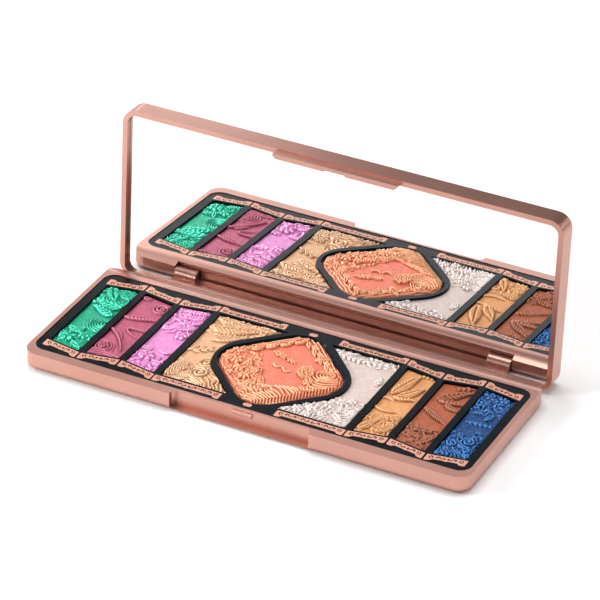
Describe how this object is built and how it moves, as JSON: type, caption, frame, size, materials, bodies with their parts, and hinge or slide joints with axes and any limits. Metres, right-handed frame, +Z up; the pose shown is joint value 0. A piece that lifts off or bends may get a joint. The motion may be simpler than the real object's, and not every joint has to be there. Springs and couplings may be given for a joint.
{
  "type": "eyeshadow palette",
  "caption": "Slim hinged makeup palette with pressed-powder pans in a dark insert, a mirror in the lid, a finger notch and a snap catch",
  "frame": {"origin": "middle of the underside of the base, which rests on the table", "axes": "+X to the right along the length, +Y from the front to the hinge, +Z up; the lid is open in the rest pose"},
  "size_m": [0.16, 0.0777, 0.0631],
  "materials": {
    "shell": "satin rose-gold metallic coating on moulded plastic",
    "insert": "semi-gloss blue-black moulding with copper foil ornament",
    "tin": "thin pressed metal pan, satin",
    "glue": "pale adhesive film",
    "pin": "drawn steel",
    "board": "matt backing board",
    "mirror": "silvered glass",
    "powder_emerald": "pressed powder with a metallic shimmer",
    "powder_rose": "embossed pressed powder, satin",
    "powder_orchid": "embossed pressed powder, satin",
    "powder_champagne": "embossed pressed powder, satin",
    "powder_coral": "embossed pressed powder, satin",
    "powder_pearl": "embossed pressed powder, satin",
    "powder_gold": "embossed pressed powder, satin",
    "powder_bronze": "embossed pressed powder, satin",
    "powder_sapphire": "pressed powder with coarse glitter"
  },
  "bodies": {
    "base": {"base_shell": "shell", "insert_frame": "insert", "pan_adhesive": "glue", "pan_emerald": "tin", "pan_rose": "tin", "pan_orchid": "tin", "pan_champagne": "tin", "pan_coral": "tin", "pan_pearl": "tin", "pan_gold": "tin", "pan_bronze": "tin", "pan_sapphire": "tin", "powder_emerald": "powder_emerald", "powder_rose": "powder_rose", "powder_orchid": "powder_orchid", "powder_champagne": "powder_champagne", "powder_coral": "powder_coral", "powder_pearl": "powder_pearl", "powder_gold": "powder_gold", "powder_bronze": "powder_bronze", "powder_sapphire": "powder_sapphire", "hinge_pin_left": "pin", "hinge_pin_right": "pin"},
    "lid": {"lid_shell": "shell", "mirror_board": "board", "mirror_adhesive": "glue", "mirror": "mirror"}
  },
  "joints": [
    {"name": "lid_hinge", "type": "hinge", "parent": "base", "child": "lid", "pos_m": [0, 0.03018, 0.00185], "axis": [1, 0, 0], "range_deg": [0, 93]}
  ]
}
